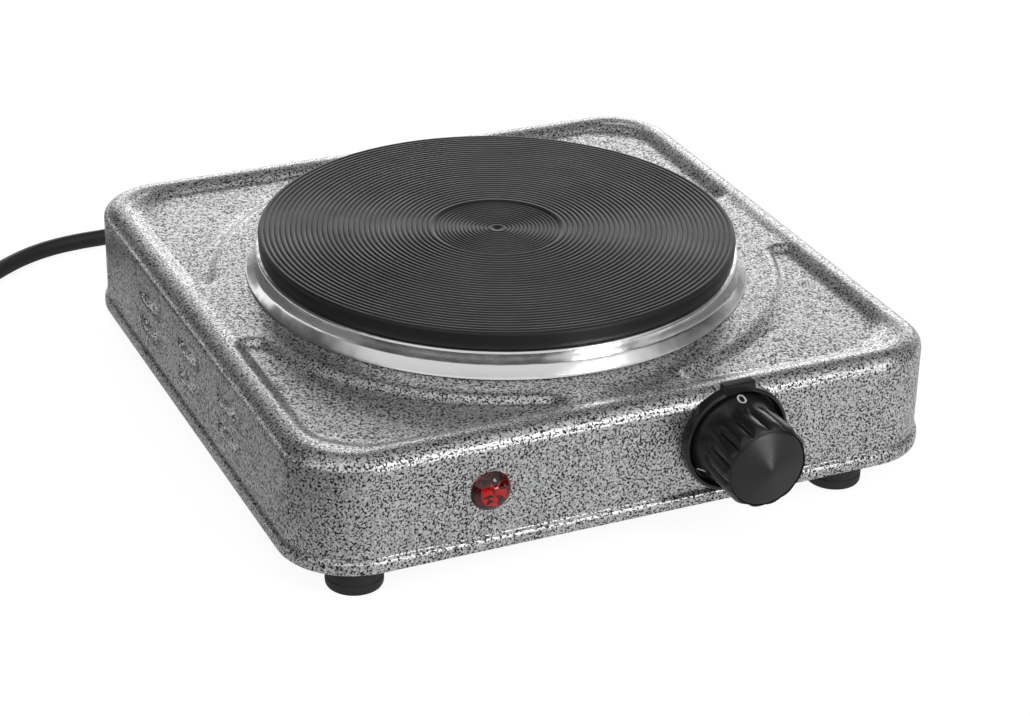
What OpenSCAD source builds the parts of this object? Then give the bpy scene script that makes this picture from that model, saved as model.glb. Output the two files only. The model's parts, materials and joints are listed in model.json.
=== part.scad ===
// Single electric hot plate: a cast-iron burner on a pressed steel case, with a dial
// thermostat, a pilot lamp and a mains lead. Millimetres, +Z up, front towards -Y.
// The origin is on the table, under the middle of the footprint from the knob's cap to
// the back of the case.

/* [Case] */
// Width of the pressed case, left to right
case_w = 253.6; // [246:0.2:262]
// Depth of the pressed case, front to back
case_d = 257.2; // [250:0.2:266]
// Radius of the case's upright corners
corner_r = 27; // [22:0.5:30]
// Height of the deck above the table
deck_z = 53.2; // [52.6:0.1:54]
// Thickness of the case's sheet steel
wall_t = 1; // [0.6:0.1:1.2]
// How far the bottom bead stands out from the walls
lip_out = 1.3; // [0.8:0.1:2]
// Height of the bottom bead
lip_h = 5; // [4:0.5:6]
// Depth of the four sunk corner panels
panel_depth = 2.5; // [1:0.1:3]
// Width of the flat bridges between the corner panels
bridge_w = 47; // [30:1:60]

/* [Feet] */
// Radius of a rubber foot
foot_r = 10.4; // [9:0.1:11]
// Height of a rubber foot
foot_h = 10; // [9.6:0.1:10.4]
// Left feet, from the middle of the case
foot_left_x = -105; // [-107:0.5:-98]
// Right feet, from the middle of the case
foot_right_x = 88; // [80:0.5:96]
// Front and back feet, from the middle of the case
foot_y = 116.4; // [110:0.1:116.6]

/* [Burner] */
// Radius of the cast-iron plate
plate_r = 92.5; // [90:0.5:93]
// Height of the cooking surface above the table
plate_top_z = 69.4; // [68:0.1:71]
// Height of the plate's side band
plate_band = 7; // [6:0.5:8]
// Distance from one turned groove to the next
groove_pitch = 2.18; // [2:0.02:2.6]
// Depth of a turned groove
groove_depth = 0.35; // [0.2:0.05:0.5]
// Radius of the dished middle
dish_r = 25.7; // [20:0.1:26]
// Outer radius of the polished trim ring
trim_r = 97.5; // [96:0.5:99]

/* [Controls] */
// Knob axis, from the middle of the case
knob_x = 36; // [30:1:50]
// Height of the knob axis above the table
knob_z = 35.4; // [34:0.1:36]
// How far the knob's cap stands out from the front wall
knob_len = 30.3; // [29:0.1:32]
// Radius of the fixed dial ring
bezel_r = 20.6; // [20:0.1:21]
// Number of grip lobes round the knob
knob_lobes = 14; // [10:1:16]
// Pilot lamp, from the middle of the case
lamp_x = -58.9; // [-70:0.1:-50]
// Height of the pilot lamp above the table
lamp_z = 33; // [28:0.5:38]
// Radius of the lamp's lens
lamp_r = 7.6; // [7:0.1:8]

/* [Mains lead] */
// Radius of the mains lead
cord_r = 3.5; // [3.4:0.05:3.5]
// Where the lead leaves the back wall, from the middle of the case
cord_x = -40; // [-40:1:-40]
// Height of the lead where it leaves the back wall
cord_z = 21; // [21:1:21]
// How far the strain relief stands out from the back wall
relief_out = 17; // [17:1:17]

/* [Hidden] */
$fn = 96;

eps = 0.05;                                   // working clearance between fitted pieces
case_y = (knob_len - lip_out) / 2;            // middle of the case
front_y = case_y - case_d / 2;                // outer face of the front wall
back_y = case_y + case_d / 2;                 // outer face of the back wall
lip_z = foot_h - 0.5;                         // bottom edge of the case
base_z = foot_h;                              // underside of the base plate
base_t = 1;
base_top = base_z + base_t;
deck_under = deck_z - wall_t;
hole_r = 88;                                  // hole in the deck for the burner
edge_roll = [[0, 4.8], [0.9, 2.8], [3, 1], [7.2, 0]];     // (in from the wall, below the deck)
panel_top = [118.6, 118.6, 27];               // half width, half depth, corner radius
panel_foot = [113.4, 113.4, 22.5];
panel_arc_top = 107.7;                        // inner arc of a panel at the deck
panel_arc_foot = 112;                         // and at its floor
louvre = [28, 7];                             // length and height of a louvre
louvre_y = [44, -3, -50];
louvre_z = [38, 25.5];
louvre_in = 4;                                // how far a louvre's blade is pressed in
vent = [4, 24, 12];                           // width, length and pitch of the base's slots
bush_r = 6.4;                                 // threaded bush of the thermostat
screw_x = 14;                                 // thermostat screws, to each side of its axis
earth_at = [-78, case_y + 86];                // earth screw
clamp_w = 32;                                 // width of the cord clamp
clamp_y = back_y - 17;                        // middle of the cord clamp
clamp_screw_x = 11;                           // its screws, to each side of the lead
lug_x = 119;
lug_y = 60;
foot_places = [for (x = [foot_left_x, foot_right_x], y = [-1, 1]) [x, case_y + y * foot_y]];
lug_places = [for (x = [-1, 1], y = [-1, 1]) [x * lug_x, case_y + y * lug_y]];

plate_under = plate_top_z - plate_band;       // underside of the plate's rim
skirt_r = 86;
skirt_z = 55;                                 // underside of the plate's skirt
channel_r = [34, 52, 70];                     // middle of each heating channel
channel_w = 8;
channel_h = 6;
coil_r = 1.45;
coil_z = 56.5;
cover_z = 53;
bar_t = 2;
bar_z = 44;                                   // underside of the clamp bar's middle
shield_z = bar_z - 1;
stud_r = 3;
pin_x = 12;
pin_y = case_y - 50.6;                        // under the middle heating channel
limiter_x = 35;

knob_tip = front_y - knob_len;
skirt_y = front_y - 2.2;                      // back of the knob's skirt
cap_r = 15;
spindle_r = 3;
spindle_tip = front_y + 18.4;
spindle_front = front_y - 24;
blade_y = spindle_tip + 0.3;                  // front face of the moving blade
blade_t = 0.5;
pivot_z = knob_z - 10;

relief_tip = back_y + relief_out;
wire_r = 1.2;

// Route of the lead from the strain relief to its coil, and from the coil to the plug.
cord_route = [[cord_x, relief_tip, cord_z], [-40.2, 167, 20.7], [-41.8, 174.6, 19.4],
    [-45.6, 182.4, 17.1], [-51.8, 189.4, 14], [-60.5, 194.9, 10.6], [-71, 198.4, 7.2],
    [-83, 199.8, 4.8], [-94, 200, 3.8], [-106, 199.8, 3.6], [-118, 199.4, 3.6], [-130, 197.4, 3.6],
    [-142, 192.8, 3.6], [-153, 186, 3.6], [-164, 177.2, 3.6], [-175, 167.2, 3.6],
    [-186, 156.6, 3.6], [-192, 150.5, 3.6]];
coil_at = [-222, 180];
coil_inner = 31.5;
coil_outer = 45.5;
coil_h = 14;
end_route = [[-264, 180, 10.6], [-264, 191.5, 11.9], [-264, 203, 14.8], [-264, 214.5, 17.7],
    [-264, 226, 19]];
plug_at = [-264, 226, 19];                    // back end of the plug's own strain relief
plug_tail = 24;
plug_len = 34;
plug_r = 19;
plug_pin_r = 2.4;
plug_pin_len = 19;

// ---- functions -------------------------------------------------------------------

function unit(v) = v / norm(v);

// Direction of a route at point i.
function heading(p, i) =
    unit(i == 0 ? p[1] - p[0] : i == len(p) - 1 ? p[i] - p[i - 1] : p[i + 1] - p[i - 1]);

// Points of one ring of a tube, square to its route; side is any way the route never runs.
function tube_ring(at, along, side, r, sides) =
    let (u = unit(cross(side, along)), v = cross(along, u))
    [for (k = [0:sides - 1]) at + r * (cos(k * 360 / sides) * u + sin(k * 360 / sides) * v)];

// A point on the smooth curve through p, t of the way from p[i] to p[i + 1].
function between(p, i, t) =
    let (n = len(p) - 1, a = p[max(i - 1, 0)], b = p[i], c = p[i + 1], d = p[min(i + 2, n)])
    0.5 * (2 * b + (c - a) * t + (2 * a - 5 * b + 4 * c - d) * t * t
        + (3 * b - a - 3 * c + d) * t * t * t);

// The route with n points to each stretch.
function smooth(p, n) = [for (i = [0:len(p) - 2], k = [0:n - 1]) between(p, i, k / n), p[len(p) - 1]];

// ---- shared shapes ---------------------------------------------------------------

// Upright slab with round corners, middle at the case's middle.
module slab(w, d, r, z, h) {
    translate([0, case_y, z]) linear_extrude(h) union() {
        square([w - 2 * r, d], center = true);
        square([w, d - 2 * r], center = true);
        for (x = [-1, 1], y = [-1, 1]) translate([x * (w / 2 - r), y * (d / 2 - r)]) circle(r);
    }
}

// The case's outer form, or its hollow when inset is the wall: a slab with a rolled top edge.
module case_form(inset, z0, z1) {
    hull() {
        slab(case_w - 2 * inset, case_d - 2 * inset, corner_r - inset, z0,
            z1 - z0 - edge_roll[0].y, $fn = 48);
        for (step = edge_roll) slab(case_w - 2 * (inset + step.x), case_d - 2 * (inset + step.x),
            corner_r - inset - step.x, z1 - step.y - 0.01, 0.01, $fn = 48);
    }
}

// The four sunk corner panels as one cutter; grow makes the larger form under the sheet.
module panel_cut(grow) {
    low = deck_z - panel_depth - grow;
    high = deck_z - grow + (grow > 0 ? 0 : 0.02);
    difference() {
        hull() {
            slab(2 * (panel_foot.x + grow), 2 * (panel_foot.y + grow), panel_foot.z + grow,
                low, 0.01, $fn = 48);
            slab(2 * (panel_top.x + grow), 2 * (panel_top.y + grow), panel_top.z + grow,
                high - 0.01, 0.01, $fn = 48);
        }
        translate([0, case_y, low - 0.01])
            cylinder(high - low + 0.02, r1 = panel_arc_foot - grow, r2 = panel_arc_top - grow);
        for (turn = [0, 90]) translate([0, case_y, low - 0.01]) rotate([0, 0, turn])
            rotate([90, 0, 0]) linear_extrude(300, center = true)
                polygon([[-bridge_w / 2 - 4 + grow, 0], [bridge_w / 2 + 4 - grow, 0],
                    [bridge_w / 2 - grow, high - low + 0.02], [-bridge_w / 2 + grow, high - low + 0.02]]);
    }
}

// A round bar along Y, from y0 to y1.
module y_rod(x, z, y0, y1, r) {
    translate([x, y0, z]) rotate([-90, 0, 0]) cylinder(y1 - y0, r = r);
}

// A shape turned about the line through x and z along Y; its outline has (radius, y) points.
module y_turned(x, z) {
    translate([x, 0, z]) rotate([-90, 0, 0]) rotate_extrude() children();
}

// A tube of the given radius along a route.
module tube(p, r, sides, side = [0, 0, 1]) {
    rings = len(p);
    points = [for (i = [0:rings - 1]) each tube_ring(p[i], heading(p, i), side, r, sides)];
    walls = [for (i = [0:rings - 2], k = [0:sides - 1]) let (n = (k + 1) % sides)
        [i * sides + k, i * sides + n, (i + 1) * sides + n, (i + 1) * sides + k]];
    ends = [[for (k = [sides - 1:-1:0]) k], [for (k = [0:sides - 1]) (rings - 1) * sides + k]];
    polyhedron(points, concat([for (w = walls) [w[3], w[2], w[1], w[0]]],
        [for (e = ends) [for (k = [sides - 1:-1:0]) e[k]]]), convexity = 8);
}

module at_feet() { for (p = foot_places) translate([p.x, p.y, 0]) children(); }
module at_lugs() { for (p = lug_places) translate([p.x, p.y, 0]) children(); }
module at_pins() { for (x = [-1, 1]) translate([x * pin_x, pin_y, 0]) children(); }
module at_burner() { translate([0, case_y, 0]) children(); }

// A ring or disc on the burner's axis.
module washer(outer, inner, z, h) {
    at_burner() translate([0, 0, z]) difference() {
        cylinder(h, r = outer);
        translate([0, 0, -1]) cylinder(h + 2, r = inner);
    }
}

// ---- case ------------------------------------------------------------------------

// One pressed-in louvre on the side wall, opening upwards into the case.
module louvre_hole(side, y, z) {
    translate([side * (case_w - wall_t) / 2, case_y + y, z])
        cube([2 * wall_t + 1, louvre.x, louvre.y], center = true);
}

// Its blade is sunk 0.3 into the wall below and at both ends of the hole.
module louvre_blade(side, y, z) {
    translate([side * (case_w / 2 - wall_t), case_y + y + louvre.x / 2 + 0.3, z - louvre.y / 2])
        rotate([90, 0, 0]) linear_extrude(louvre.x + 0.6)
            polygon([[side * 0.7, -0.3], [-side * louvre_in, louvre.y - 0.8],
                [-side * louvre_in, louvre.y], [side * 0.1, 1], [side * 0.7, 1]]);
}

module housing() {
    color("#b8bbbd") difference() {
        union() {
            difference() {
                union() {
                    case_form(0, lip_z, deck_z);
                    slab(case_w + 2 * lip_out, case_d + 2 * lip_out, corner_r + lip_out, lip_z, lip_h);
                }
                difference() {
                    case_form(wall_t, lip_z - 1, deck_under);
                    panel_cut(wall_t);
                }
                panel_cut(0);
                for (s = [-1, 1], y = louvre_y, z = louvre_z) louvre_hole(s, y, z);
            }
            for (s = [-1, 1], y = louvre_y, z = louvre_z) louvre_blade(s, y, z);
            for (p = lug_places) translate([p.x + sign(p.x) * 1, p.y, base_top + 0.75])
                cube([12, 12, 1.5], center = true);
        }
        at_burner() translate([0, 0, deck_z - 10]) cylinder(20, r = hole_r);
        y_rod(knob_x, knob_z, front_y - 1, front_y + 3, bush_r + 0.2);
        for (x = [-1, 1]) y_rod(knob_x + x * screw_x, knob_z, front_y - 1, front_y + 3, 1.8);
        y_rod(lamp_x, lamp_z, front_y - 1, front_y + 3, 5.2);
        y_rod(cord_x, cord_z, back_y - 3, back_y + 1, 5.2);
        at_lugs() translate([0, 0, base_top - 1]) cylinder(4, r = 1.6);
    }
}

module base_plate() {
    color("#a9acae") difference() {
        slab(case_w - 2 * wall_t - 0.8, case_d - 2 * wall_t - 0.8, corner_r - wall_t - 0.4,
            base_z, base_t);
        at_feet() translate([0, 0, base_z - 1]) cylinder(3, r = 2.1);
        at_lugs() translate([0, 0, base_z - 1]) cylinder(3, r = 1.9);
        for (x = [-60:vent.z:60], y = [-10, 30, 70])
            translate([x, case_y + y, base_z + base_t / 2]) cube([vent.x, vent.y, 4], center = true);
        for (x = [-1, 1]) translate([cord_x + x * clamp_screw_x, clamp_y, base_z - 1])
            cylinder(3, r = 1.3);
        translate([earth_at.x, earth_at.y, base_z - 1]) cylinder(3, r = 1.8);
    }
}

module feet() {
    color("#1b1b1c") at_feet() rotate_extrude() polygon([[2.1, 4], [5.2, 4], [5.2, 0],
        [foot_r - 0.8, 0], [foot_r, 0.8], [foot_r, foot_h - 1.2], [foot_r - 0.6, foot_h - 0.8],
        [foot_r - 0.6, foot_h], [2.1, foot_h]]);
}

module foot_screws() {
    color("#9a9a98") at_feet() {
        translate([0, 0, 2]) cylinder(2, r = 4);
        translate([0, 0, 3.9]) cylinder(11, r = 2);
    }
}

module base_screws() {
    color("#9a9a98") at_lugs() {
        translate([0, 0, base_z - 1.6]) cylinder(1.6, r = 3.2);
        translate([0, 0, base_z - 0.1]) cylinder(6, r = 1.55);
    }
}

// ---- burner ----------------------------------------------------------------------

// Outline of the turned top, from the middle outwards.
function plate_top_outline() =
    let (n = floor((plate_r - 2.5 - dish_r) / groove_pitch), half = groove_pitch * 0.22)
    concat([[0, plate_top_z - 0.8], [dish_r - 1.2, plate_top_z - 0.6], [dish_r, plate_top_z]],
        [for (i = [1:n]) let (r = dish_r + i * groove_pitch)
            each [[r - half, plate_top_z], [r, plate_top_z - groove_depth], [r + half, plate_top_z]]],
        [[plate_r - 1.3, plate_top_z], [plate_r - 0.4, plate_top_z - 0.4],
            [plate_r, plate_top_z - 1.3], [plate_r - 0.3, plate_under]]);

module hot_plate() {
    channels = [for (r = [channel_r[2], channel_r[1], channel_r[0]])
        each [[r + channel_w / 2, skirt_z], [r + channel_w / 2, skirt_z + channel_h],
            [r - channel_w / 2, skirt_z + channel_h], [r - channel_w / 2, skirt_z]]];
    color("#3a3a3c") at_burner() difference() {
        rotate_extrude() polygon(concat(plate_top_outline(), [[skirt_r, plate_under],
            [skirt_r, skirt_z]], channels, [[14, skirt_z], [14, cover_z + 1], [0, cover_z + 1]]));
        cylinder(62, r = stud_r + eps);
    }
}

module trim_ring() {
    color("#d9dadb") at_burner() rotate_extrude() polygon([[skirt_r + 0.4, plate_under],
        [plate_r - 0.8, plate_under], [plate_r + 1, plate_under - 5.2], [trim_r, deck_z],
        [trim_r - 1.6, deck_z], [plate_r + 0.1, plate_under - 5.4], [plate_r - 1.6, plate_under - 0.9],
        [skirt_r + 0.4, plate_under - 0.9]]);
}

module coil_cement() {
    color("#d8d2c4") at_burner() for (r = channel_r) difference() {
        translate([0, 0, skirt_z]) difference() {
            cylinder(channel_h, r = r + channel_w / 2);
            translate([0, 0, -1]) cylinder(channel_h + 2, r = r - channel_w / 2);
        }
        translate([0, 0, coil_z]) rotate_extrude() translate([r, 0]) union() {
            circle(coil_r + eps, $fn = 32);
            translate([-coil_r - eps, -3]) square([2 * (coil_r + eps), 3]);
        }
    }
}

module heating_coil() {
    color("#8c7a6a") at_burner() for (r = channel_r) translate([0, 0, coil_z])
        rotate_extrude() translate([r, 0]) circle(coil_r, $fn = 32);
}

module insulation_disc() {
    color("#e4e0d4") difference() {
        washer(84, 14.3, cover_z + 1, 0.99);
        at_pins() cylinder(80, r = 4.8);
    }
}

module plate_cover() {
    color("#b4b6b6") difference() {
        washer(85, 3.4, cover_z, 1);
        at_pins() cylinder(80, r = 4.8);
    }
}

module centre_stud() {
    color("#b9b9b5") at_burner() translate([0, 0, 35]) cylinder(27, r = stud_r);
}

module clamp_bar() {
    pad = 103;
    rise = 91;
    foot = 80;
    color("#9fa2a3") at_burner() difference() {
        translate([0, 12, 0]) rotate([90, 0, 0]) linear_extrude(24) polygon([
            [-foot, bar_z], [foot, bar_z], [rise, deck_under - bar_t], [pad, deck_under - bar_t],
            [pad, deck_under], [rise - 1, deck_under], [foot - 1, bar_z + bar_t],
            [1 - foot, bar_z + bar_t], [1 - rise, deck_under], [-pad, deck_under],
            [-pad, deck_under - bar_t], [-rise, deck_under - bar_t]]);
        translate([0, 0, bar_z - 5]) cylinder(15, r = stud_r + 0.3);
    }
}

module heat_shield() {
    color("#c4c6c6") difference() {
        washer(78, stud_r + 0.3, shield_z, 1);
        translate([0, pin_y, shield_z]) cube([48, 28, 6], center = true);
    }
}

module stud_washer() { color("#b9b9b5") washer(7, stud_r + 0.2, shield_z - 1.2, 1.2); }

module stud_nut() {
    color("#b9b9b5") at_burner() translate([0, 0, shield_z - 6.2]) difference() {
        cylinder(5, r = 5.8, $fn = 6);
        translate([0, 0, -1]) cylinder(7, r = stud_r + eps);
    }
}

module element_pins() {
    color("#b9b9b5") at_pins() translate([0, 0, 38]) cylinder(coil_z - coil_r - 38.1, r = 2);
}

module element_insulators() {
    color("#efece2") at_pins() translate([0, 0, 46]) difference() {
        union() {
            cylinder(8.4, r = 4.5);
            cylinder(5, r = 6);
        }
        translate([0, 0, -1]) cylinder(12, r = 2.1);
    }
}

module thermal_limiter() {
    color("#8d6b4a") at_burner() translate([limiter_x, 0, bar_z + bar_t]) {
        cylinder(cover_z - bar_z - bar_t, r = 8);
        for (y = [-1, 1]) translate([0, y * 10, 2]) cube([5, 8, 0.8], center = true);
    }
}

module limiter_ring() {
    color("#b9b9b5") at_burner() translate([limiter_x, 0, bar_z + bar_t]) difference() {
        cylinder(1, r = 11);
        translate([0, 0, -1]) cylinder(3, r = 8 + eps);
    }
}

// ---- thermostat ------------------------------------------------------------------

module thermostat_bracket() {
    color("#b1b3b3") difference() {
        translate([knob_x - 20, front_y + wall_t, knob_z - 13]) cube([40, 1.5, 24]);
        y_rod(knob_x, knob_z, front_y, front_y + 5, bush_r + 0.2);
        for (x = [-1, 1]) y_rod(knob_x + x * screw_x, knob_z, front_y, front_y + 5, 1.6);
    }
}

module thermostat_bush() {
    color("#c9a24a") y_turned(knob_x, knob_z) polygon([[spindle_r + eps, front_y - 1],
        [bush_r, front_y - 1], [bush_r, front_y + wall_t + 1.5], [bush_r, front_y + 8],
        [spindle_r + eps, front_y + 8]]);
}

module thermostat_screws() {
    color("#9a9a98") for (x = [-1, 1]) {
        y_rod(knob_x + x * screw_x, knob_z, front_y - 1.4, front_y, 2.9);
        y_rod(knob_x + x * screw_x, knob_z, front_y - 0.1, front_y + wall_t + 3.5, 1.5);
    }
}

module thermostat_body() {
    y0 = front_y + wall_t + 1.5;
    color("#efece2") difference() {
        translate([knob_x - 11, y0, knob_z - 14]) cube([22, 23, 27]);
        y_rod(knob_x, knob_z, y0 - 1, y0 + 14, 6.5);
        translate([knob_x - 7, blade_y - 3, pivot_z - 1.3]) cube([14, 8, 30]);
    }
}

module thermostat_spindle() {
    color("#b9b9b5") difference() {
        y_rod(knob_x, knob_z, spindle_front, spindle_tip, spindle_r);
        translate([knob_x - 5, spindle_front - 1, knob_z + 2.3]) cube([10, 19, 5]);
    }
}

module moving_blade() {
    color("#c98b5a") {
        translate([knob_x - 4, blade_y, pivot_z - 1]) cube([8, blade_t, 21]);
        y_rod(knob_x, pivot_z + 18, blade_y - 0.05, blade_y + 1.2, 1.5);
    }
}

module fixed_blade() {
    color("#c98b5a") {
        translate([knob_x - 4, blade_y + 3.6, pivot_z - 1.3]) cube([8, blade_t, 22.3]);
        y_rod(knob_x, pivot_z + 18, blade_y + 3.2, blade_y + 3.7, 1.5);
    }
}

// ---- knob and dial ---------------------------------------------------------------

module bezel() {
    color("#161617") difference() {
        union() {
            y_turned(knob_x, knob_z) polygon([[12, front_y], [12, front_y - 1.4],
                [18.8, front_y - 1.4], [19.2, front_y - 4.5], [bezel_r - 0.4, front_y - 4.5],
                [bezel_r, front_y - 4.1], [bezel_r, front_y]]);
            translate([knob_x - 6, front_y - 4.5, knob_z + bezel_r - 1]) cube([12, 4.5, 2.9]);
        }
        for (x = [-1, 1]) y_rod(knob_x + x * screw_x, knob_z, front_y - 2, front_y + 1, 3.1);
    }
}

module knob() {
    lobe_r = 2.6;
    color("#1a1a1b") difference() {
        union() {
            y_turned(knob_x, knob_z) polygon([[7, skirt_y], [18.2, skirt_y], [18.2, skirt_y - 1],
                [15.2, skirt_y - 9], [14.8, knob_tip + 4.2], [cap_r - 0.4, knob_tip + 3.4],
                [0, knob_tip + 3.4], [0, knob_tip + 6], [7, knob_tip + 6]]);
            for (k = [0:knob_lobes - 1]) let (a = (k + 0.5) * 360 / knob_lobes)
                y_rod(knob_x + 13.9 * sin(a), knob_z + 13.9 * cos(a),
                    knob_tip + 3.4, skirt_y - 6, lobe_r);
            y_rod(knob_x, knob_z, knob_tip + 5.5, skirt_y + 0.2, 6);
        }
        y_rod(knob_x, knob_z, knob_tip + 6, skirt_y + 2, spindle_r + eps);
    }
}

module knob_cap() {
    color("#202022") y_turned(knob_x, knob_z) polygon([[0, knob_tip + 3.38], [cap_r, knob_tip + 3.38],
        [cap_r, knob_tip + 2.6], [cap_r - 1, knob_tip + 1.7], [11, knob_tip + 0.8],
        [6, knob_tip + 0.2], [0, knob_tip]]);
}

module knob_spring() {
    color("#b9b9b5") translate([knob_x - 1.1, spindle_front, knob_z + 2.35]) cube([2.2, 13, 0.4]);
}

// ---- pilot lamp ------------------------------------------------------------------

module lamp_lens() {
    color("#c81a20") y_turned(lamp_x, lamp_z) polygon([[3.2, front_y + 9], [3.2, front_y - 1],
        [0, front_y - 1.6], [0, front_y - 4.6], [3.2, front_y - 4.2], [5.6, front_y - 3.1],
        [lamp_r - 0.5, front_y - 1.5], [lamp_r, front_y - 0.6], [lamp_r, front_y],
        [5.1, front_y], [5.1, front_y + 9]]);
}

module lamp_clip() {
    color("#b9b9b5") y_turned(lamp_x, lamp_z) polygon([[5.15, front_y + wall_t],
        [9, front_y + wall_t], [9, front_y + wall_t + 0.6], [5.15, front_y + wall_t + 0.6]]);
}

module lamp_sleeve() {
    color("#e8e6df") y_turned(lamp_x, lamp_z) polygon([[3.25, front_y + 9.05], [6.2, front_y + 9.05],
        [6.2, front_y + 24], [1.6, front_y + 24], [1.6, front_y + 22], [3.25, front_y + 22]]);
}

module neon_bulb() {
    color("#e98f6a") y_turned(lamp_x, lamp_z) polygon([[0, front_y + 3], [1.6, front_y + 3.6],
        [2.6, front_y + 5.5], [2.6, front_y + 20], [0, front_y + 20]]);
}

module lamp_leads() {
    color("#b0562f") for (x = [-0.75, 0.75])
        tube(smooth([[lamp_x + x, front_y + 20, lamp_z], [lamp_x + x, front_y + 27, lamp_z],
            [lamp_x + 6 * x, front_y + 36, lamp_z - 4], [lamp_x + 8 * x + 6, front_y + 52, 22],
            [lamp_x + 9 * x + 14, front_y + 80, 15]], 3), 0.6, 8);
}

// ---- wiring ----------------------------------------------------------------------

block_y = back_y - 62;                        // back face of the terminal block
block_size = [34, 18, 15];
wire_gap = 10;

module terminal_block() {
    color("#efece2") difference() {
        translate([cord_x - block_size.x / 2, block_y - block_size.y, base_top]) cube(block_size);
        for (k = [-1:1]) {
            y_rod(cord_x + k * wire_gap, base_top + 6, block_y - block_size.y - 1, block_y + 1, 2);
            for (y = [5, 13]) translate([cord_x + k * wire_gap, block_y - y, base_top + 6])
                cylinder(12, r = 1.75);
        }
    }
}

module terminal_screws() {
    color("#c9a24a") for (k = [-1:1], y = [5, 13])
        translate([cord_x + k * wire_gap, block_y - y, base_top + 7.6]) cylinder(5.5, r = 1.7);
}

// A wire out of the lead's end and through one way of the terminal block.
module block_wire(k) {
    tube(smooth([[cord_x + 2.3 * k, back_y - 30, cord_z], [cord_x + 2.9 * k, back_y - 36, cord_z - 0.5],
        [cord_x + 8 * k, back_y - 47, base_top + 8], [cord_x + wire_gap * k, back_y - 56, base_top + 6],
        [cord_x + wire_gap * k, block_y - 3, base_top + 6]], 3), wire_r, 8);
}

// A wire from one way of the terminal block along further points.
module run_wire(k, points) {
    tube(smooth(concat([[cord_x + wire_gap * k, block_y - 15, base_top + 6],
        [cord_x + wire_gap * k, block_y - 24, base_top + 6]], points), 4), wire_r, 8, [0.3, 0.1, 1]);
}

module live_wire() {
    color("#7a4a26") {
        block_wire(1);
        run_wire(1, [[-20, case_y + 20, 15], [20, case_y - 30, 15], [34, case_y - 70, 17],
            [knob_x, front_y + 32, 21], [knob_x, front_y + 27, 24]]);
    }
}

module neutral_wire() {
    color("#2c5da8") {
        block_wire(0);
        run_wire(0, [[-42, case_y + 20, 15], [-36, case_y - 20, 16], [-24, case_y - 44, 22],
            [-pin_x - 3, pin_y, 30], [-pin_x, pin_y, 37.8]]);
    }
}

module earth_wire() {
    color("#5d9a3a") {
        block_wire(-1);
        run_wire(-1, [[-56, case_y + 30, 14.5], [-70, case_y + 36, 14], [-80, case_y + 56, 13.5],
            [-79, case_y + 76, 13.5], [earth_at.x, earth_at.y - 4, 13.5]]);
    }
}

module switched_wire() {
    color("#c9c4b4") tube(smooth([[knob_x + 3, front_y + 27, 30], [knob_x + 6, front_y + 34, 30],
        [50, case_y - 70, 28], [60, case_y - 40, 32], [limiter_x + 50, case_y - 20, 40],
        [limiter_x + 46, case_y - 17, 48], [limiter_x + 30, case_y - 16, 49.4],
        [limiter_x + 8, case_y - 15, 49], [limiter_x, case_y - 14.6, 48.2]], 4), wire_r, 8,
        [0.6, -0.5, 0.6]);
}

module limiter_wire() {
    color("#c9c4b4") tube(smooth([[limiter_x, case_y + 14.6, 48.2], [limiter_x + 8, case_y + 16, 49],
        [limiter_x + 44, case_y + 16, 49.4], [limiter_x + 52, case_y + 10, 40],
        [limiter_x + 46, case_y - 6, 30], [50, case_y - 30, 26], [30, case_y - 46, 26],
        [pin_x + 4, pin_y, 30], [pin_x, pin_y, 37.8]], 4), wire_r, 8, [0.6, -0.5, 0.6]);
}

module earth_screw() {
    color("#c9a24a") translate([earth_at.x, earth_at.y, 0]) {
        translate([0, 0, base_top]) cylinder(1.2, r = 5);
        translate([0, 0, base_top + 1.2]) cylinder(2.4, r = 3.4);
        translate([0, 0, base_z - 3]) cylinder(5, r = 1.7);
    }
}

// ---- mains lead ------------------------------------------------------------------

module strain_relief() {
    color("#17171a") y_turned(cord_x, cord_z) polygon([[cord_r + eps, back_y - 6],
        [6, back_y - 6], [6.2, back_y - 1.2], [5.1, back_y - 1.1], [5.1, back_y],
        [6.4, back_y], [6.4, back_y + 2], [5.6, back_y + 3.5], [4.4, relief_tip],
        [cord_r + eps, relief_tip]]);
}

module cord_core() {
    color("#17171a") y_rod(cord_x, cord_z, back_y - 30, relief_tip, cord_r);
}

module cord_clamp() {
    color("#2a2a2c") difference() {
        translate([cord_x - clamp_w / 2, clamp_y - 5, base_top])
            cube([clamp_w, 10, cord_z + 6 - base_top]);
        y_rod(cord_x, cord_z, clamp_y - 6, clamp_y + 6, cord_r + eps);
        for (x = [-1, 1]) translate([cord_x + x * clamp_screw_x, clamp_y, 0])
            cylinder(30, r = 1.55);
    }
}

module cord_clamp_screws() {
    color("#9a9a98") for (x = [-1, 1]) translate([cord_x + x * clamp_screw_x, clamp_y, 0]) {
        translate([0, 0, cord_z + 6]) cylinder(1.8, r = 2.8);
        translate([0, 0, base_z - 1.5]) cylinder(cord_z + 7.6 - base_z, r = 1.25);
    }
}

module cord() { color("#17171a") tube(smooth(cord_route, 2), cord_r, 10); }

module cord_coil() {
    color("#17171a") translate([coil_at.x, coil_at.y, 0]) difference() {
        cylinder(coil_h, r = coil_outer);
        translate([0, 0, -1]) cylinder(coil_h + 2, r = coil_inner);
    }
}

module cord_end() { color("#17171a") tube(smooth(end_route, 2), cord_r, 10); }

module cord_tie() {
    w = coil_outer - coil_inner;
    color("#111112") translate([coil_at.x, coil_at.y - (coil_inner + coil_outer) / 2, 0])
        difference() {
            translate([-3, -w / 2 - 1.2, 0]) cube([6, w + 2.4, coil_h + 1.2]);
            translate([-4, -w / 2 - 0.2, -0.2]) cube([8, w + 0.4, coil_h + 0.4]);
        }
}

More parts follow.
